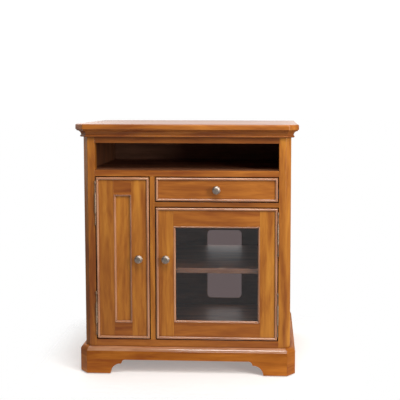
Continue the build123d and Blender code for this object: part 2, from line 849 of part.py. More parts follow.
with BuildPart() as drawer_back:
    bar(box_inner_x, (box_y[1] - drawer_side_thickness, box_y[1]), (bottom_z[1], box_z[1]))
keep(drawer_back, "drawer_back")

with BuildPart() as drawer_bottom:
    bar(bottom_x, bottom_y, bottom_z)
keep(drawer_bottom, "drawer_bottom")

with BuildPart() as drawer_knob:
    with Locations(Location((drawer_centre_x, door_front_y, drawer_centre_z), (90, 0, 0))):
        add(turned_knob())
        add(knob_screw())
keep(drawer_knob, "drawer_knob")

# --- drawer runners: three nested channels each side, facing one another ---
runner_y = (door_back_y + runner_play, door_back_y + runner_play + runner_length)
runner_z = box_z[0] + runner_lift


def channel(depth_span, half_height, web_depth):
    """Both sides' channel of one kind: its web, and a flange above and below."""
    for side, wall_x in ((1, stile_right_x), (-1, post_inner_x)):
        web = (wall_x + side * web_depth, wall_x + side * (web_depth + runner_sheet))
        flange = (wall_x + side * depth_span[0], wall_x + side * depth_span[1])
        bar(web, runner_y, (runner_z - half_height, runner_z + half_height))
        for edge in (-1, 1):
            heights = (runner_z + edge * half_height, runner_z + edge * (half_height - runner_sheet))
            bar(flange, runner_y, heights)


middle_half = runner_height / 2 - runner_sheet - runner_play
inner_half = middle_half - runner_sheet - runner_play
middle_web = runner_sheet + runner_play
with BuildPart() as cabinet_runners:
    channel((0, runner_reach), runner_height / 2, 0)
keep(cabinet_runners, "cabinet_runners")

with BuildPart() as middle_runners:
    channel((middle_web, runner_depth - runner_sheet - runner_play), middle_half, middle_web)
keep(middle_runners, "middle_runners")

inner_edge = runner_depth - runner_reach + runner_sheet
with BuildPart() as drawer_runners:
    channel((inner_edge, runner_depth), inner_half, runner_depth - runner_sheet)
keep(drawer_runners, "drawer_runners")

with BuildPart() as runner_spacer:
    bar((post_inner_x, side_inner_x), (post_back_y, runner_y[1]), (box_z[0], box_z[1]))
keep(runner_spacer, "runner_spacer")
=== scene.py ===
import bpy, bmesh
from math import radians, pi, cos, sin, tan, sqrt
from mathutils import Matrix, Vector


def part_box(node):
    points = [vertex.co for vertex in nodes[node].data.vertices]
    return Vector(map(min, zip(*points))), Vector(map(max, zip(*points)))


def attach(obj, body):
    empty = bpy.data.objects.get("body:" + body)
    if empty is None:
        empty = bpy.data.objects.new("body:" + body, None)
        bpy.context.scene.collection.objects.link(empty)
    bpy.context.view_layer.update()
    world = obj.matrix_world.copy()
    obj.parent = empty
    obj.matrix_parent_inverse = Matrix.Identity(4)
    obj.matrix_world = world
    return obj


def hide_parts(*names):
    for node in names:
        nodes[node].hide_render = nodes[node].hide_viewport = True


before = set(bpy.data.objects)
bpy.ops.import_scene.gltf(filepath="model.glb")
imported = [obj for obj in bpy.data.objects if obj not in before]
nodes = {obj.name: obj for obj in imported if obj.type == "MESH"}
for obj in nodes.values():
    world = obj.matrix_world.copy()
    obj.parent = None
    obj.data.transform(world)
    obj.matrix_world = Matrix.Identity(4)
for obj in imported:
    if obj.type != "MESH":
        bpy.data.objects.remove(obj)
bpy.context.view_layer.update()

print("frame loaded:", len(nodes), "parts")


# the camera, at the height and turn the cabinet is seen from
shot = {
    "place": (0.3096, -2.7987, 1.0618),
    "turn": radians(2.099), "down": radians(4.103), "roll": radians(0.126),
    "lens": 61.407, "sensor": 36.0, "shiftX": -0.1075, "shiftY": -0.1293, "farClip": 60,
}
cameraData = bpy.data.cameras.new("studioCamera")
cameraData.lens = shot["lens"]
cameraData.sensor_width = shot["sensor"]
cameraData.shift_x, cameraData.shift_y = shot["shiftX"], shot["shiftY"]
cameraData.clip_end = shot["farClip"]
camera = bpy.data.objects.new("studioCamera", cameraData)
bpy.context.collection.objects.link(camera)
aim = (Matrix.Rotation(shot["turn"], 3, "Z") @ Matrix.Rotation(pi / 2 - shot["down"], 3, "X")
       @ Matrix.Rotation(shot["roll"], 3, "Z"))
camera.rotation_euler = aim.to_euler()
camera.location = shot["place"]
bpy.context.scene.camera = camera


# node helpers
def newMaterial(name):
    material = bpy.data.materials.new(name)
    material.use_nodes = True
    tree = material.node_tree
    return material, tree, tree.nodes["Principled BSDF"]


def addNode(tree, kind, **settings):
    node = tree.nodes.new(kind)
    for key, value in settings.items():
        setattr(node, key, value)
    return node


def feed(tree, source, target):
    tree.links.new(source, target)


def colorRamp(tree, factor, stops):
    ramp = addNode(tree, "ShaderNodeValToRGB")
    band = ramp.color_ramp
    while len(band.elements) < len(stops):
        band.elements.new(0.5)
    for element, (place, color) in zip(band.elements, stops):
        element.position = place
        element.color = color if len(color) == 4 else (*color, 1)
    feed(tree, factor, ramp.inputs["Fac"])
    return ramp.outputs["Color"]


def mixColor(tree, mode, amount, first, second):
    mix = addNode(tree, "ShaderNodeMix", data_type="RGBA", blend_type=mode)
    if isinstance(amount, (int, float)):
        mix.inputs[0].default_value = amount
    else:
        feed(tree, amount, mix.inputs[0])
    feed(tree, first, mix.inputs[6])
    if isinstance(second, tuple):
        mix.inputs[7].default_value = (*second, 1)
    else:
        feed(tree, second, mix.inputs[7])
    return mix.outputs[2]


def scaled(tree, value, amount):
    times = addNode(tree, "ShaderNodeMath", operation="MULTIPLY")
    times.inputs[1].default_value = amount
    feed(tree, value, times.inputs[0])
    return times.outputs[0]


def ranged(tree, value, source, target, curve="LINEAR"):
    # source and target are each (low, high)
    step = addNode(tree, "ShaderNodeMapRange", interpolation_type=curve)
    for socket, number in zip(("From Min", "From Max", "To Min", "To Max"), source + target):
        step.inputs[socket].default_value = number
    feed(tree, value, step.inputs["Value"])
    return step.outputs["Result"]


def bumped(tree, height, strength, depth, before=None):
    bump = addNode(tree, "ShaderNodeBump")
    bump.inputs["Strength"].default_value = strength
    bump.inputs["Distance"].default_value = depth
    feed(tree, height, bump.inputs["Height"])
    if before:
        feed(tree, before, bump.inputs["Normal"])
    return bump.outputs["Normal"]


def plainNoise(tree, vector, scale, detail):
    noise = addNode(tree, "ShaderNodeTexNoise")
    noise.inputs["Scale"].default_value = scale
    noise.inputs["Detail"].default_value = detail
    feed(tree, vector, noise.inputs["Vector"])
    return noise.outputs["Fac"]


def grainNoise(tree, vector, offset, scale, detail, rough, distort=0.0):
    # noise stretched by its own mapping, shifted per board through its fourth dimension
    stretch = addNode(tree, "ShaderNodeMapping")
    stretch.inputs["Scale"].default_value = scale
    feed(tree, vector, stretch.inputs["Vector"])
    noise = addNode(tree, "ShaderNodeTexNoise", noise_dimensions="4D")
    noise.inputs["Scale"].default_value = 1
    noise.inputs["Detail"].default_value = detail
    noise.inputs["Roughness"].default_value = rough
    noise.inputs["Distortion"].default_value = distort
    feed(tree, stretch.outputs["Vector"], noise.inputs["Vector"])
    feed(tree, offset, noise.inputs["W"])
    return noise.outputs["Fac"]


# the wood finishes; pale, mid and deep are the streak colours
goldenFinish = {
    "pale": (0.650, 0.270, 0.038), "mid": (0.510, 0.186, 0.025), "deep": (0.350, 0.106, 0.014),
    "streakTint": (0.80, 0.74, 0.68), "poreTint": (0.66, 0.58, 0.50), "ringTint": (0.80, 0.72, 0.66),
    "streaks": 0.55, "pores": 0.45, "rings": 0.30, "clouds": 0.8, "boards": 0.7,
    # glaze colour, reach and amount: a real dark glaze plus painted shade in corners and joints
    "glazeShadeColor": (0.26, 0.15, 0.12), "glazeShadeReach": 0.006, "glazeShadeAmount": 0.9,
    "rough": (0.30, 0.44), "coat": 0.22, "coatRough": 0.20, "gleam": 0.35,
}
finishes = {
    "golden": goldenFinish,
    "russet": dict(
        goldenFinish, pale=(0.540, 0.190, 0.028), mid=(0.405, 0.128, 0.018), deep=(0.270, 0.070, 0.011),
    ),
    # darker golden, painted shade for the left post and the panel door's hinge stile, on the side away from
    # the key lamp
    "leftShaded": dict(
        goldenFinish, pale=(0.560, 0.222, 0.032), mid=(0.440, 0.154, 0.021), deep=(0.300, 0.086, 0.012),
    ),
    "base": dict(
        goldenFinish, pale=(0.520, 0.178, 0.022), mid=(0.395, 0.122, 0.013), deep=(0.265, 0.065, 0.008),
        rough=(0.38, 0.52), coat=0.0, gleam=0.14,
    ),
    # darker russet, painted shade for the top rail under the crown and for the drawer rail
    "shadedRusset": dict(
        goldenFinish, pale=(0.400, 0.137, 0.021), mid=(0.295, 0.092, 0.014), deep=(0.195, 0.051, 0.009),
    ),
    # bead and moulding trim: the wood's tone made lighter and pinker, a painted highlight on top of the
    # real gloss
    "sheenTrim": dict(
        goldenFinish, pale=(0.690, 0.360, 0.200), mid=(0.545, 0.250, 0.128), deep=(0.380, 0.146, 0.064),
        glazeShadeAmount=1.0, rough=(0.20, 0.30), coat=1.0, coatRough=0.13, gleam=0.9, rings=0.1,
    ),
    # the same wood made darker, painted shade for the inside of the case
    "shadedInside": dict(
        goldenFinish, pale=(0.300, 0.125, 0.060), mid=(0.215, 0.085, 0.042), deep=(0.135, 0.050, 0.026),
        rough=(0.42, 0.60), coat=0.05, glazeShadeAmount=0.5,
    ),
    "board": dict(
        goldenFinish, pale=(0.270, 0.130, 0.085), mid=(0.205, 0.098, 0.064), deep=(0.145, 0.066, 0.044),
        rough=(0.60, 0.78), coat=0.0, gleam=0.25, glazeShadeAmount=0.4, rings=0.1,
    ),
    "drawer": dict(
        goldenFinish, pale=(0.640, 0.440, 0.235), mid=(0.560, 0.360, 0.175), deep=(0.440, 0.255, 0.115),
        rough=(0.40, 0.58), coat=0.05, gleam=0.3, glazeShadeAmount=0.5,
    ),
}
# the figure: turns per metre along the grain and across it, the bands in the swirl, the step between boards
figure = {
    "swirl": (1.6, 11.0), "ringCount": 38.0, "mottle": (4.2, 34.0), "clouds": (1.6, 7.0),
    "streaks": (6.0, 150.0), "fibres": (40.0, 1100.0), "boardShift": 61.0,
}
# bump strength and depth
relief = {
    "fibres": (0.22, 0.0004), "swell": (0.16, 0.0012), "metal": (0.12, 0.0002), "plastic": (0.3, 0.0002),
}
white = (1, 1, 1)
black = (0, 0, 0)


def wood(finishName):
    # the grain runs along the piece's own X
    finish = finishes[finishName]
    material, tree, shader = newMaterial(finishName + "Wood")
    where = addNode(tree, "ShaderNodeTexCoord").outputs["Object"]
    chance = addNode(tree, "ShaderNodeObjectInfo").outputs["Random"]
    offset = scaled(tree, chance, figure["boardShift"])

    def layer(name, detail, rough, distort=0.0):
        length, across = figure[name]
        return grainNoise(tree, where, offset, (length, across, across), detail, rough, distort)

    wave = addNode(tree, "ShaderNodeMath", operation="SINE")
    feed(tree, scaled(tree, layer("swirl", 3, 0.5, 0.4), figure["ringCount"]), wave.inputs[0])
    ringBand = ranged(tree, wave.outputs[0], (-1, 1), (0, 1))
    mottle = layer("mottle", 4, 0.6, 0.35)
    streaks = layer("streaks", 5, 0.6)
    fibres = layer("fibres", 3, 0.7)
    clouds = layer("clouds", 2, 0.5)

    base = colorRamp(tree, mottle, [(0.35, finish["deep"]), (0.50, finish["mid"]), (0.66, finish["pale"])])
    tints = (
        (
            finish["streaks"], streaks,
            [(0.32, finish["streakTint"]), (0.58, white), (0.8, (1.06, 1.05, 1.02))],
        ),
        (finish["rings"], ringBand, [(0.0, finish["ringTint"]), (0.6, white)]),
        (finish["clouds"], clouds, [(0.30, (0.88, 0.82, 0.78)), (0.70, (1.08, 1.10, 1.06))]),
        (finish["boards"], chance, [(0.0, (0.93, 0.89, 0.86)), (1.0, (1.05, 1.06, 1.02))]),
        (finish["pores"], fibres, [(0.28, finish["poreTint"]), (0.42, white)]),
    )
    for amount, source, stops in tints:
        base = mixColor(tree, "MULTIPLY", amount, base, colorRamp(tree, source, stops))
    # dark glaze and painted shade: occlusion darkens the colour in corners, quirks and joints where shade
    # falls
    corner = addNode(tree, "ShaderNodeAmbientOcclusion", samples=6, only_local=False)
    corner.inputs["Distance"].default_value = finish["glazeShadeReach"]
    closeness = colorRamp(tree, corner.outputs["AO"], [(0.35, white), (0.85, black)])
    glazeShadeMask = scaled(tree, closeness, finish["glazeShadeAmount"])
    glazedShaded = mixColor(tree, "MULTIPLY", 1.0, base, finish["glazeShadeColor"])
    feed(tree, mixColor(tree, "MIX", glazeShadeMask, base, glazedShaded), shader.inputs["Base Color"])

    smooth, dull = finish["rough"]
    feed(tree, ranged(tree, streaks, (0.3, 0.7), (dull, smooth)), shader.inputs["Roughness"])
    shader.inputs["Coat Weight"].default_value = finish["coat"]
    shader.inputs["Coat Roughness"].default_value = finish["coatRough"]
    shader.inputs["Specular IOR Level"].default_value = finish["gleam"]
    grainNormal = bumped(tree, fibres, *relief["fibres"])
    feed(tree, bumped(tree, clouds, *relief["swell"], grainNormal), shader.inputs["Normal"])
    return material


def metal(name, color, dark, rough, spots):
    material, tree, shader = newMaterial(name)
    where = addNode(tree, "ShaderNodeTexCoord").outputs["Object"]
    tarnish = plainNoise(tree, where, spots, 6)
    fine = plainNoise(tree, where, spots * 9, 3)
    feed(tree, colorRamp(tree, tarnish, [(0.36, dark), (0.62, color)]), shader.inputs["Base Color"])
    feed(tree, ranged(tree, fine, (0.3, 0.7), (rough + 0.12, rough)), shader.inputs["Roughness"])
    shader.inputs["Metallic"].default_value = 1
    feed(tree, bumped(tree, fine, *relief["metal"]), shader.inputs["Normal"])
    return material


def plastic(name, color, rough, spots=900):
    material, tree, shader = newMaterial(name)
    where = addNode(tree, "ShaderNodeTexCoord").outputs["Object"]
    grain = plainNoise(tree, where, spots, 3)
    darker = tuple(value * 0.8 for value in color)
    feed(tree, colorRamp(tree, grain, [(0.35, darker), (0.65, color)]), shader.inputs["Base Color"])
    shader.inputs["Roughness"].default_value = rough
    feed(tree, bumped(tree, grain, *relief["plastic"]), shader.inputs["Normal"])
    return material


pane = {"tint": (0.92, 0.93, 0.95), "ior": 1.52, "hazeScale": 14, "rough": (0.0, 0.05)}


def doorGlass():
    material, tree, shader = newMaterial("doorGlass")
    where = addNode(tree, "ShaderNodeTexCoord").outputs["Object"]
    haze = plainNoise(tree, where, pane["hazeScale"], 5)
    feed(tree, ranged(tree, haze, (0.4, 0.8), pane["rough"]), shader.inputs["Roughness"])
    shader.inputs["Base Color"].default_value = (*pane["tint"], 1)
    shader.inputs["Transmission Weight"].default_value = 1
    shader.inputs["IOR"].default_value = pane["ior"]
    return material


knobMetal = metal("pewterKnob", (0.56, 0.48, 0.42), (0.33, 0.27, 0.22), 0.40, 160)
hingeMetal = metal("agedBrassHinge", (0.66, 0.50, 0.36), (0.36, 0.25, 0.17), 0.46, 240)
zincMetal = metal("zincPlate", (0.66, 0.67, 0.68), (0.48, 0.48, 0.50), 0.30, 320)
glidePlastic = plastic("brownNylon", (0.10, 0.07, 0.05), 0.5)
catchPlastic = plastic("catchBrown", (0.16, 0.09, 0.05), 0.42)
glassMaterial = doorGlass()
goldenWood, russetWood, leftShadedWood, shadedRailWood = wood("golden"), wood("russet"), wood("leftShaded"), wood("shadedRusset")
baseWood, sheenTrimWood, shadedInsideWood = wood("base"), wood("sheenTrim"), wood("shadedInside")
boardWood, drawerWood = wood("board"), wood("drawer")
print("materials ready")


# pieces: a mesh in its own frame, its local X along the grain or the run
def addPiece(name, shape, body, materials, node, place=None, sharp=32):
    bmesh.ops.recalc_face_normals(shape, faces=shape.faces)
    mesh = bpy.data.meshes.new(name)
    shape.to_mesh(mesh)
    shape.free()
    smooth = [face.use_smooth for face in mesh.polygons]
    mesh.set_sharp_from_angle(angle=radians(sharp))  # this smooths every face, so the flats are put back
    mesh.polygons.foreach_set("use_smooth", smooth)
    for material in materials:
        mesh.materials.append(material)
    piece = bpy.data.objects.new(name, mesh)
    bpy.context.collection.objects.link(piece)
    if place is not None:
        piece.matrix_world = place
    bpy.context.view_layer.update()
    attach(piece, body)
    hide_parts(node)


def frameOf(origin, along, out):
    along, out = Vector(along).normalized(), Vector(out).normalized()
    up = along.cross(out)
    turn = Matrix((along, out, up)).transposed().to_4x4()
    return Matrix.Translation(origin) @ turn


def islandsOf(shape):
    # lists of faces that hang together
    left, groups = set(shape.faces), []
    for face in list(shape.faces):
        if face not in left:
            continue
        group, queue = [], [face]
        left.discard(face)
        while queue:
            current = queue.pop()
            group.append(current)
            for edge in current.edges:
                for other in edge.link_faces:
                    if other in left:
                        left.discard(other)
                        queue.append(other)
        groups.append(group)
    return groups


def middleOf(group):
    points = [vert.co for face in group for vert in face.verts]
    return sum(points, Vector()) / len(points)


easing = {
    "weld": 1e-6, "flat": 0.008, "curved": 0.004, "soft": radians(32), "turn": radians(40),
    "shortest": 0.0016, "steps": 3,
}
ways = {
    "x": [(1, 0, 0)], "y": [(0, 1, 0)], "z": [(0, 0, 1)],
    "round": [(1, 0, 0), (0, 1, 0), (1, 1, 0), (1, -1, 0)],
}


def boardPlace(points, grain):
    # the board's own frame, with X along its grain
    def reach(way):
        spread = [point.dot(Vector(way).normalized()) for point in points]
        return max(spread) - min(spread)

    along = Vector(max(ways[grain], key=reach)).normalized()
    out = Vector((0, -1, 0)) if abs(along.y) < 0.5 else Vector((1, 0, 0))
    out = (out - along * out.dot(along)).normalized()
    return frameOf(sum(points, Vector()) / len(points), along, out)


def easeArrises(board, ease):
    # only the narrow roundings are smooth, so the flats stay flat
    for face in board.faces:
        face.smooth = any(
            edge.is_manifold and easing["curved"] < edge.calc_face_angle(0) < easing["soft"]
            for edge in face.edges
        )
    sharp = [
        edge for edge in board.edges
        if edge.is_manifold and edge.is_convex and edge.calc_face_angle(0) > easing["turn"]
        and edge.calc_length() > easing["shortest"]
    ]
    if not (ease and sharp):
        return
    bmesh.ops.bevel(
        board, geom=sharp, offset=ease, offset_type="OFFSET", segments=easing["steps"], profile=0.5,
        affect="EDGES", clamp_overlap=False,
    )
    for face in board.faces:
        if face.calc_area() < ease * max(edge.calc_length() for edge in face.edges):
            face.smooth = True


def easedBoards(node, title, body, grain, ease, materials, pick=None):
    # one piece per board of a part, its arrises eased and its grain along its length
    whole = bmesh.new()
    whole.from_mesh(nodes[node].data)
    bmesh.ops.remove_doubles(whole, verts=whole.verts, dist=easing["weld"])
    groups = islandsOf(whole)
    groups.sort(key=lambda group: tuple(round(value, 4) for value in middleOf(group)))
    for index, group in enumerate(groups):
        kept = {vert.index for face in group for vert in face.verts}
        board = whole.copy()
        board.verts.ensure_lookup_table()
        others = [vert for vert in board.verts if vert.index not in kept]
        bmesh.ops.delete(board, geom=others, context="VERTS")
        bmesh.ops.dissolve_limit(board, angle_limit=easing["flat"], verts=board.verts, edges=board.edges)
        place = boardPlace([vert.co.copy() for vert in board.verts], grain)
        bmesh.ops.transform(board, matrix=place.inverted(), verts=board.verts)
        easeArrises(board, ease)
        if pick:
            board.normal_update()
            for face in board.faces:
                face.material_index = pick(place @ face.calc_center_median(), place.to_3x3() @ face.normal)
        name = title if len(groups) == 1 else title + str(index + 1)
        addPiece(name, board, body, materials, node, place)
    whole.free()


def arc(center, radius, start, end, steps):
    # points round an arc, in degrees
    spread = [radians(start + (end - start) * step / steps) for step in range(steps + 1)]
    return [(center[0] + radius * cos(turn), center[1] + radius * sin(turn)) for turn in spread]


def profileRun(title, section, start, end, out, mitres, body, material, node):
    # a section of (out, up) points drawn from start to end, each end mitred by its own slope
    start, end = Vector(start), Vector(end)
    length = (end - start).length
    place = frameOf(start, end - start, out)
    shape = bmesh.new()
    ends = []
    for base, slope in ((0.0, -mitres[0]), (length, mitres[1])):
        ends.append([shape.verts.new((base + point[0] * slope, point[0], point[1])) for point in section])
    count = len(section)
    for index in range(count):
        after = (index + 1) % count
        side = shape.faces.new((ends[0][index], ends[1][index], ends[1][after], ends[0][after]))
        side.smooth = True
    shape.faces.new(list(reversed(ends[0])))
    shape.faces.new(ends[1])
    addPiece(title, shape, body, [material], node, place)


def stripFrame(title, xSpan, zSpan, y, facing, section, body, material, node):
    # four mitred strips just inside a rectangle; facing is -1 towards the front
    gap = 0.0001
    up = Vector((0, facing, 0))
    corners = ((xSpan[0], zSpan[0]), (xSpan[1], zSpan[0]), (xSpan[1], zSpan[1]), (xSpan[0], zSpan[1]))
    names = ("Bottom", "Right", "Top", "Left")
    inward = (Vector((0, 0, 1)), Vector((-1, 0, 0)), Vector((0, 0, -1)), Vector((1, 0, 0)))
    for index, label in enumerate(names):
        first, second = corners[index], corners[(index + 1) % 4]
        a, b = Vector((first[0], y, first[1])), Vector((second[0], y, second[1]))
        out = inward[index]
        along = out.cross(up)
        if (b - a).dot(along) < 0:
            a, b = b, a
        step = (b - a).normalized() * gap
        profileRun(title + label, section, a + step, b - step, out, (-1.0, -1.0), body, material, node)


def lathe(title, profile, origin, axis, body, material, node, segments=48):
    # (radius, height) points turned round an axis
    axis = Vector(axis)
    side = Vector((1, 0, 0)) if abs(axis.x) < 0.5 else Vector((0, 1, 0))
    place = frameOf(origin, side, axis.cross(side))
    shape = bmesh.new()
    rings = []
    for radius, height in profile:
        if radius < 1e-6:
            rings.append([shape.verts.new((0, 0, height))])
            continue
        turns = [2 * pi * step / segments for step in range(segments)]
        rings.append([shape.verts.new((radius * cos(turn), radius * sin(turn), height)) for turn in turns])
    for lower, upper in zip(rings, rings[1:]):
        for step in range(segments):
            after = (step + 1) % segments
            corners = [lower[step % len(lower)], lower[after % len(lower)]]
            corners += [upper[after % len(upper)], upper[step % len(upper)]]
            unique = list(dict.fromkeys(corners))
            if len(unique) > 2:
                shape.faces.new(unique).smooth = True
    addPiece(title, shape, body, [material], node, place, 40)


# key places, in metres, from the parts themselves
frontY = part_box("top_rail")[0].y
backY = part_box("back_panel")[1].y
slabLow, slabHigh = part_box("top_panel")[0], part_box("top_panel")[1]
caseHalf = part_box("right_side_panel")[1].x


def planOf(proud, leg=0.020):
    # the plan of the case grown outwards, from the back left corner round the front
    cut = leg + (2 - sqrt(2)) * proud
    x, y = caseHalf + proud, frontY - proud
    corners = ((-x, backY), (-x, y + cut), (-x + cut, y), (x - cut, y), (x, y + cut), (x, backY))
    return [Vector(corner) for corner in corners]


# the top: a slab with a rounded upper edge and softened front corners
topSlab = {"upperRound": 0.006, "lowerRound": 0.0025, "steps": 7, "cornerRound": 0.0035}


def softRing(proud, height):
    # the plan at one height with each front corner rounded in three points
    plan = planOf(proud)
    ring = []
    for index, corner in enumerate(plan):
        if index in (0, 5):
            ring.append(Vector((corner.x, corner.y, height)))
            continue
        before = (plan[index - 1] - corner).normalized() * topSlab["cornerRound"]
        after = (plan[index + 1] - corner).normalized() * topSlab["cornerRound"]
        first, last = corner + before, corner + after
        for share in (0.0, 0.25, 0.5, 0.75, 1.0):
            blend = first * (1 - share) ** 2 + corner * 2 * share * (1 - share) + last * share ** 2
            ring.append(Vector((blend.x, blend.y, height)))
    return ring


def makeTop():
    overhang = slabHigh.x - caseHalf
    upper, lower, steps = topSlab["upperRound"], topSlab["lowerRound"], topSlab["steps"]
    levels = [(overhang - lower * (1 - sin(turn)), slabLow.z + lower * (1 - cos(turn)))
              for turn in (pi / 2 * step / steps for step in range(steps + 1))]
    levels += [(overhang - upper * (1 - cos(turn)), slabHigh.z - upper * (1 - sin(turn)))
               for turn in (pi / 2 * step / steps for step in range(steps + 1))]
    shape = bmesh.new()
    middle = (slabLow + slabHigh) / 2
    rings = [[shape.verts.new(point - middle) for point in softRing(*level)] for level in levels]
    for low, high in zip(rings, rings[1:]):
        for index in range(len(low) - 1):
            edge = shape.faces.new((low[index], low[index + 1], high[index + 1], high[index]))
            edge.smooth = True
    shape.faces.new([ring[0] for ring in rings] + [ring[-1] for ring in reversed(rings)])
    shape.faces.new(rings[0])
    shape.faces.new(rings[-1])
    addPiece("topSlab", shape, "carcass", [russetWood], "top_panel", Matrix.Translation(middle), 40)


makeTop()

# the crown: bead, quirk, cove and lip, mitred round the five sides
crown = {
    "neck": 0.008, "under": 0.0008, "bead": 0.0075, "fillet": 0.0015, "lip": 0.004, "proud": 0.024,
    "gap": 0.0001,
}


def crownSection(height):
    coveLow = crown["bead"] + crown["fillet"]
    coveRadius = height - crown["lip"] - coveLow
    neck = crown["proud"] - coveRadius
    half = crown["bead"] / 2
    section = [(0, 0), (crown["neck"] - crown["under"], 0)]
    section += arc((crown["neck"], half), half, -90, 90, 12)
    section += [(neck, crown["bead"]), (neck, coveLow)]
    section += arc((crown["proud"], coveLow), coveRadius, 180, 90, 12)[1:]
    section += [(crown["proud"], height), (0, height)]
    return section


def planRuns(title, section, bottom, material, node):
    plan = planOf(0)
    labels = ("LeftSide", "LeftCorner", "Front", "RightCorner", "RightSide")
    half = tan(radians(22.5))
    for index, label in enumerate(labels):
        a, b = plan[index].to_3d(), plan[index + 1].to_3d()
        a.z = b.z = bottom
        direction = (b - a).normalized()
        out = direction.cross(Vector((0, 0, 1)))  # to the outside of the plan
        mitres = [0.0 if index == 0 else half, 0.0 if index == 4 else half]
        if index > 0:
            a = a + direction * crown["gap"]
        if index < 4:
            b = b - direction * crown["gap"]
        along = out.cross(Vector((0, 0, 1)))
        if direction.dot(along) < 0:
            a, b = b, a
            mitres.reverse()
        profileRun(title + label, section, a, b, out, mitres, "carcass", material, node)


crownLow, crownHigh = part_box("crown_moulding")
planRuns("crown", crownSection(crownHigh.z - crownLow.z), crownLow.z, russetWood, "crown_moulding")
print("top and crown made")

# the case: boards with eased arrises; their inner faces carry a darker colour, painted shade for the inside
# of the case
arris = {
    "frame": 0.0007, "post": 0.0011, "panel": 0.0006, "shelf": 0.0010, "door": 0.0005, "box": 0.0008,
    "pane": 0.0008,
}


def sideFaces(side):
    return lambda spot, normal: 1 if normal.x * side < -0.5 else 0


def behindFrame(spot, normal):
    return 1 if normal.y > 0.5 else 0


# the left post's outer faces take the darker colour, painted shade
def postFaces(spot, normal):
    if normal.y > 0.5:
        return 1
    return 2 if spot.x < 0 else 0


def frontFaces(spot, normal):
    return 1 if normal.y < -0.5 else 0


mouldingHeight = 0.016
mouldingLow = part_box("plinth_front")[1].z - mouldingHeight


# the moulding's upward faces take the lighter trim colour, a painted highlight
def mouldedTop(spot, normal):
    return 1 if normal.z > 0.2 and spot.z > mouldingLow else 0


for node, title in (("top_rail", "topRail"), ("bay_rail", "bayRail"), ("drawer_rail", "drawerRail"),
                    ("bottom_rail", "bottomRail")):
    # the top and drawer rails take the darker russet, painted shade
    railWood = shadedRailWood if node in ("top_rail", "drawer_rail") else russetWood
    easedBoards(node, title, "carcass", "x", arris["frame"], [railWood, shadedInsideWood], behindFrame)
easedBoards("centre_stile", "centreStile", "carcass", "z", arris["frame"], [goldenWood, shadedInsideWood],
            behindFrame)
easedBoards("corner_posts", "cornerPost", "carcass", "z", arris["post"],
            [goldenWood, shadedInsideWood, leftShadedWood], postFaces)
for side, node, title in ((-1, "left_side_panel", "leftSide"), (1, "right_side_panel", "rightSide")):
    easedBoards(node, title, "carcass", "z", arris["panel"], [goldenWood, shadedInsideWood], sideFaces(side))
easedBoards("bay_floor", "bayFloor", "carcass", "x", 0, [shadedInsideWood])
easedBoards("cabinet_floor", "cabinetFloor", "carcass", "x", 0, [shadedInsideWood])
easedBoards("partition", "partitionBoard", "carcass", "z", 0, [shadedInsideWood])
# the shelf's front edge takes the lighter trim colour, a painted highlight
easedBoards("media_shelf", "mediaShelf", "carcass", "x", arris["shelf"], [shadedInsideWood, sheenTrimWood], frontFaces)
easedBoards("disc_shelves", "discShelf", "carcass", "x", arris["shelf"], [shadedInsideWood, goldenWood],
            frontFaces)
easedBoards("plinth_front", "plinthFront", "carcass", "x", arris["frame"], [baseWood, sheenTrimWood], mouldedTop)
easedBoards("plinth_sides", "plinthSide", "carcass", "y", arris["frame"], [baseWood])
easedBoards("plinth_corners", "plinthCorner", "carcass", "round", arris["frame"], [baseWood])
easedBoards("plinth_back", "plinthBack", "carcass", "x", arris["frame"], [shadedInsideWood])
easedBoards("corner_blocks", "cornerBlock", "carcass", "z", arris["frame"], [drawerWood])
easedBoards("runner_spacer", "runnerSpacer", "carcass", "y", arris["frame"], [drawerWood])
print("case made")

# doors: stiles and rails, a recessed panel or pane, sticking, lipping bead and turned knob
sticking = {
    "width": 0.007, "bead": 0.0017, "foot": 0.0012, "quirk": 0.0002, "quirkDeep": 2.2, "hollowShare": 0.98,
    "steps": 8,
}
lipping = {"width": 0.010, "height": 0.006, "shoulder": 0.0009, "steps": 14}
# (radius, height) up the knob: foot, neck, flare, rim and the step under the dome
knob = {
    "turning": [
        (0, 0), (0.0090, 0), (0.0090, 0.0012), (0.0084, 0.0020), (0.0074, 0.0023), (0.0065, 0.0046),
        (0.0053, 0.0078), (0.0056, 0.0096), (0.0074, 0.0110), (0.0108, 0.0126), (0.0138, 0.0146),
        (0.0155, 0.0166), (0.0160, 0.0182), (0.0160, 0.0194), (0.01555, 0.0203), (0.0149, 0.0206),
        (0.0146, 0.0209),
    ],
    "reach": 0.027, "domeSteps": 10,
}


def stickingSection(height):
    radius, width, steps = sticking["bead"], sticking["width"], sticking["steps"]
    section = [(0, 0), (0, height - radius)]
    section += arc((radius, height - radius), radius, 180, 0, 10)[1:]
    hollow = (width - 2 * radius) * sticking["hollowShare"]
    quirkLow = height - sticking["quirkDeep"] * radius
    section += [(2 * radius + sticking["quirk"], quirkLow)]
    depth = quirkLow - sticking["foot"]
    for step in range(1, steps + 1):
        turn = pi / 2 * step / steps
        section.append((width - hollow * cos(turn), sticking["foot"] + depth * (1 - sin(turn))))
    return section + [(width, 0)]


def lippingSection():
    half, shoulder, steps = lipping["width"] / 2, lipping["shoulder"], lipping["steps"]
    rise = lipping["height"] - shoulder
    turns = [pi - pi * step / steps for step in range(steps + 1)]
    crest = [(half + half * cos(turn), shoulder + rise * sin(turn)) for turn in turns]
    return [(0, 0)] + crest + [(lipping["width"], 0)]


def turnedKnob(title, node, body):
    low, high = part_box(node)
    origin = Vector(((low.x + high.x) / 2, leafFront, (low.z + high.z) / 2))
    domeRadius, domeLow = knob["turning"][-1]
    profile = list(knob["turning"])
    for step in range(1, knob["domeSteps"]):
        turn = pi / 2 * step / knob["domeSteps"]
        profile.append((domeRadius * cos(turn), domeLow + (knob["reach"] - domeLow) * sin(turn)))
    profile.append((0, knob["reach"]))
    lathe(title, profile, origin, (0, -1, 0), body, knobMetal, node)


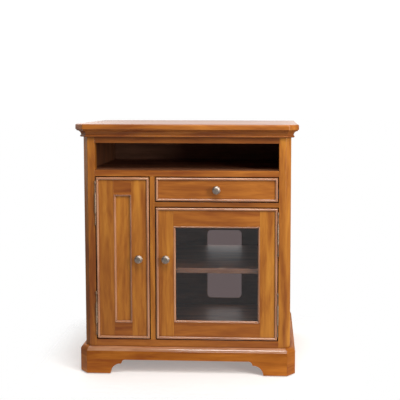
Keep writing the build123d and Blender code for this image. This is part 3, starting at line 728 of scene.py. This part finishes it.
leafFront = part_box("drawer_front")[0].y
for door, glazedShaded in (("panel_door", False), ("glass_door", True)):
    short = "glassDoor" if glazedShaded else "panelDoor"
    for part, label, grain in (("hinge_stile", "HingeStile", "z"), ("knob_stile", "KnobStile", "z"),
                               ("top_rail", "TopRail", "x"), ("bottom_rail", "BottomRail", "x")):
        # the panel door's hinge stile, on the left, takes the darker colour, painted shade
        stileWood = leftShadedWood if part == "hinge_stile" and not glazedShaded else goldenWood
        easedBoards(f"{door}_{part}", short + label, door, grain, arris["door"],
                    [stileWood if grain == "z" else russetWood])
    low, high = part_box(f"{door}_moulding")
    stripFrame(short + "Sticking", (low.x, high.x), (low.z, high.z), high.y, -1,
               stickingSection(high.y - low.y), door, sheenTrimWood, f"{door}_moulding")
    hingeBox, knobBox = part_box(f"{door}_hinge_stile"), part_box(f"{door}_knob_stile")
    xSpan = (min(hingeBox[0].x, knobBox[0].x), max(hingeBox[1].x, knobBox[1].x))
    zSpan = (hingeBox[0].z, hingeBox[1].z)
    stripFrame(short + "Lipping", xSpan, zSpan, leafFront, -1, lippingSection(), door, sheenTrimWood,
               f"{door}_bead")
    turnedKnob(short + "Knob", f"{door}_knob", door)

easedBoards("door_panel", "panelDoorPanel", "panel_door", "z", arris["door"], [goldenWood])
low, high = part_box("glass_stops")
glassStop = {"width": 0.008, "round": 0.0045, "height": high.y - low.y}
stopMiddle = (glassStop["width"] - glassStop["round"], glassStop["height"] - glassStop["round"])
stopSection = [(0, 0), (0, glassStop["height"])] + arc(stopMiddle, glassStop["round"], 90, 0, 6)
stopSection += [(glassStop["width"], 0)]
stripFrame("glassStop", (low.x, high.x), (low.z, high.z), low.y, 1, stopSection, "glass_door", russetWood,
           "glass_stops")
easedBoards("glass_pane", "glassPane", "glass_door", "x", arris["pane"], [glassMaterial])
print("doors made")

# drawer
easedBoards("drawer_front", "drawerFront", "drawer", "x", arris["door"], [russetWood])
low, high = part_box("drawer_front")
stripFrame("drawerLipping", (low.x, high.x), (low.z, high.z), leafFront, -1, lippingSection(), "drawer",
           sheenTrimWood, "drawer_bead")
turnedKnob("drawerKnob", "drawer_knob", "drawer")
easedBoards("drawer_sides", "drawerSide", "drawer", "y", arris["box"], [drawerWood])
easedBoards("drawer_back", "drawerBack", "drawer", "x", arris["box"], [drawerWood])
easedBoards("drawer_bottom", "drawerBottom", "drawer", "x", 0, [drawerWood])
print("drawer made")

# hinge pins with turned finials above and below the knuckles
finial = {
    "pin": 0.0012, "head": 0.0032, "halfKnuckles": 0.038, "length": 0.005, "ball": 0.0020,
    "waist": (0.0015, 0.0015), "collar": 0.0009, "chamfer": (0.0004, 0.0012), "ballSpan": (-38, 74),
}


def finialEnd():
    # from the knuckles outwards: a collar, a waist and a ball
    head, length, ball = finial["head"], finial["length"], finial["ball"]
    profile = [(head, 0), (head, finial["collar"]), (head - finial["chamfer"][0], finial["chamfer"][1])]
    profile.append(finial["waist"])
    profile += arc((0, length - ball), ball, *finial["ballSpan"], 7)
    return profile + [(0, length)]


pinShape = bmesh.new()
pinShape.from_mesh(nodes["hinge_pins"].data)
pinPlaces = [middleOf(group) for group in islandsOf(pinShape)]
pinPlaces.sort(key=lambda spot: (round(spot.x, 3), spot.z))
pinShape.free()
knuckleEnd, tip = finial["halfKnuckles"], finialEnd()
pinProfile = [(radius, -knuckleEnd - height) for radius, height in reversed(tip)]
pinProfile += [(finial["pin"], -knuckleEnd), (finial["pin"], knuckleEnd)]
pinProfile += [(radius, knuckleEnd + height) for radius, height in tip]
for index, spot in enumerate(pinPlaces):
    lathe("hingePin" + str(index + 1), pinProfile, spot, (0, 0, 1), "carcass", hingeMetal, "hinge_pins", 24)
print("hardware made")

# what stays as it was drawn gets its own finish
for node, material in (
    ("hinge_frame_leaves", hingeMetal), ("panel_door_hinge_leaves", hingeMetal),
    ("glass_door_hinge_leaves", hingeMetal), ("carcass_screws", hingeMetal),
    ("panel_door_screws", hingeMetal), ("glass_door_screws", hingeMetal), ("shelf_pins", zincMetal),
    ("cabinet_runners", zincMetal), ("middle_runners", zincMetal), ("drawer_runners", zincMetal),
    ("panel_door_strike_plate", zincMetal), ("glass_door_strike_plate", zincMetal),
    ("door_catches", catchPlastic), ("floor_glides", glidePlastic), ("back_panel", boardWood),
):
    for slotPlace in nodes[node].material_slots:
        slotPlace.material = material
asDrawn = [name for name, node in nodes.items() if not node.hide_render]
print("kept as drawn:", asDrawn)

# floor, light and air
floor = {
    "half": 4.0, "color": (0.88, 0.88, 0.88), "glow": 0.26, "fade": (0.0, 0.28), "rough": 0.9, "gleam": 0.1,
}
floorShape = bmesh.new()
bmesh.ops.create_grid(floorShape, x_segments=1, y_segments=1, size=floor["half"])
floorMesh = bpy.data.meshes.new("studioFloor")
floorShape.to_mesh(floorMesh)
floorShape.free()
studioFloor = bpy.data.objects.new("studioFloor", floorMesh)
bpy.context.collection.objects.link(studioFloor)


def fadingFloor():
    # pale floor that melts into the white room a little way past the top's edges
    material, tree, shader = newMaterial("studioFloor")
    shader.inputs["Base Color"].default_value = (*floor["color"], 1)
    shader.inputs["Roughness"].default_value = floor["rough"]
    shader.inputs["Specular IOR Level"].default_value = floor["gleam"]
    shader.inputs["Emission Color"].default_value = (1, 1, 1, 1)
    shader.inputs["Emission Strength"].default_value = floor["glow"]
    where = addNode(tree, "ShaderNodeTexCoord").outputs["Object"]
    size = addNode(tree, "ShaderNodeVectorMath", operation="ABSOLUTE")
    feed(tree, where, size.inputs[0])
    beyond = addNode(tree, "ShaderNodeVectorMath", operation="SUBTRACT")
    beyond.inputs[1].default_value = (slabHigh.x, slabHigh.y, 0)
    feed(tree, size.outputs[0], beyond.inputs[0])
    outside = addNode(tree, "ShaderNodeVectorMath", operation="MAXIMUM")
    outside.inputs[1].default_value = (0, 0, 0)
    feed(tree, beyond.outputs[0], outside.inputs[0])
    away = addNode(tree, "ShaderNodeVectorMath", operation="LENGTH")
    feed(tree, outside.outputs[0], away.inputs[0])
    fade = ranged(tree, away.outputs["Value"], floor["fade"], (1, 0), "SMOOTHERSTEP")
    feed(tree, fade, shader.inputs["Alpha"])
    return material


floorMesh.materials.append(fadingFloor())

lamps = {
    "key": {
        "place": (2.3, -2.0, 1.6), "aim": (0.0, -0.2, 0.75), "size": (0.7, 2.0), "power": 60,
        "color": (1.0, 0.97, 0.93),
    },
    "overhead": {
        "place": (0.35, -1.55, 2.75), "aim": (0.0, -0.25, 0.35), "size": (1.9, 0.9), "power": 48,
        "color": (1, 0.98, 0.95),
    },
    "rearLeft": {
        "place": (-2.2, 1.7, 1.9), "aim": (0, 0.1, 0.45), "size": (3.8, 3.8), "power": 40, "color": white,
    },
    "rearRight": {
        "place": (1.8, 2.2, 2.0), "aim": (0, 0.1, 0.45), "size": (3.8, 3.8), "power": 34, "color": white,
    },
}
for title, lamp in lamps.items():
    data = bpy.data.lights.new(title, "AREA")
    data.shape = "RECTANGLE"
    data.size, data.size_y = lamp["size"]
    data.energy = lamp["power"]
    data.color = lamp["color"]
    light = bpy.data.objects.new(title, data)
    light.location = lamp["place"]
    light.rotation_euler = (Vector(lamp["aim"]) - Vector(lamp["place"])).to_track_quat("-Z", "Y").to_euler()
    bpy.context.collection.objects.link(light)

# the room: bright behind, dim in front and overhead, so the satin front isn't veiled
room = {"wall": (0.10, 1.20), "ground": (0.34, 0.12), "groundBehind": (1.0, 0.72, 0.72)}
world = bpy.data.worlds.new("studioRoom")
bpy.context.scene.world = world
world.use_nodes = True
air = world.node_tree
background = air.nodes["Background"]
direction = addNode(air, "ShaderNodeTexCoord").outputs["Generated"]
directionParts = addNode(air, "ShaderNodeSeparateXYZ")
feed(air, direction, directionParts.inputs[0])
depthwise, upwards = directionParts.outputs["Y"], directionParts.outputs["Z"]
wall = ranged(air, depthwise, (0.55, 0.95), room["wall"], "SMOOTHSTEP")
ground = ranged(air, depthwise, (-0.2, 0.5), room["ground"], "SMOOTHSTEP")
aboveGround = ranged(air, upwards, (-0.10, 0.0), (0.0, 1.0), "SMOOTHSTEP")
glow = addNode(air, "ShaderNodeMix", data_type="FLOAT")
feed(air, aboveGround, glow.inputs[0])
feed(air, ground, glow.inputs[2])
feed(air, wall, glow.inputs[3])
shownAir = addNode(air, "ShaderNodeMath", operation="MAXIMUM")
cameraRay = addNode(air, "ShaderNodeLightPath").outputs["Is Camera Ray"]
feed(air, cameraRay, shownAir.inputs[0])
feed(air, glow.outputs[0], shownAir.inputs[1])
feed(air, shownAir.outputs[0], background.inputs["Strength"])
rearward = ranged(air, depthwise, (0.3, 0.8), (0.0, 1.0), "SMOOTHSTEP")
groundShade = colorRamp(air, rearward, [(0.0, white), (1.0, room["groundBehind"])])
airShade = mixColor(air, "MIX", aboveGround, groundShade, white)
feed(air, mixColor(air, "MIX", cameraRay, airShade, white), background.inputs["Color"])
bpy.context.scene.view_settings.view_transform = "Standard"
bpy.context.scene.view_settings.look = "None"
print("studio made")
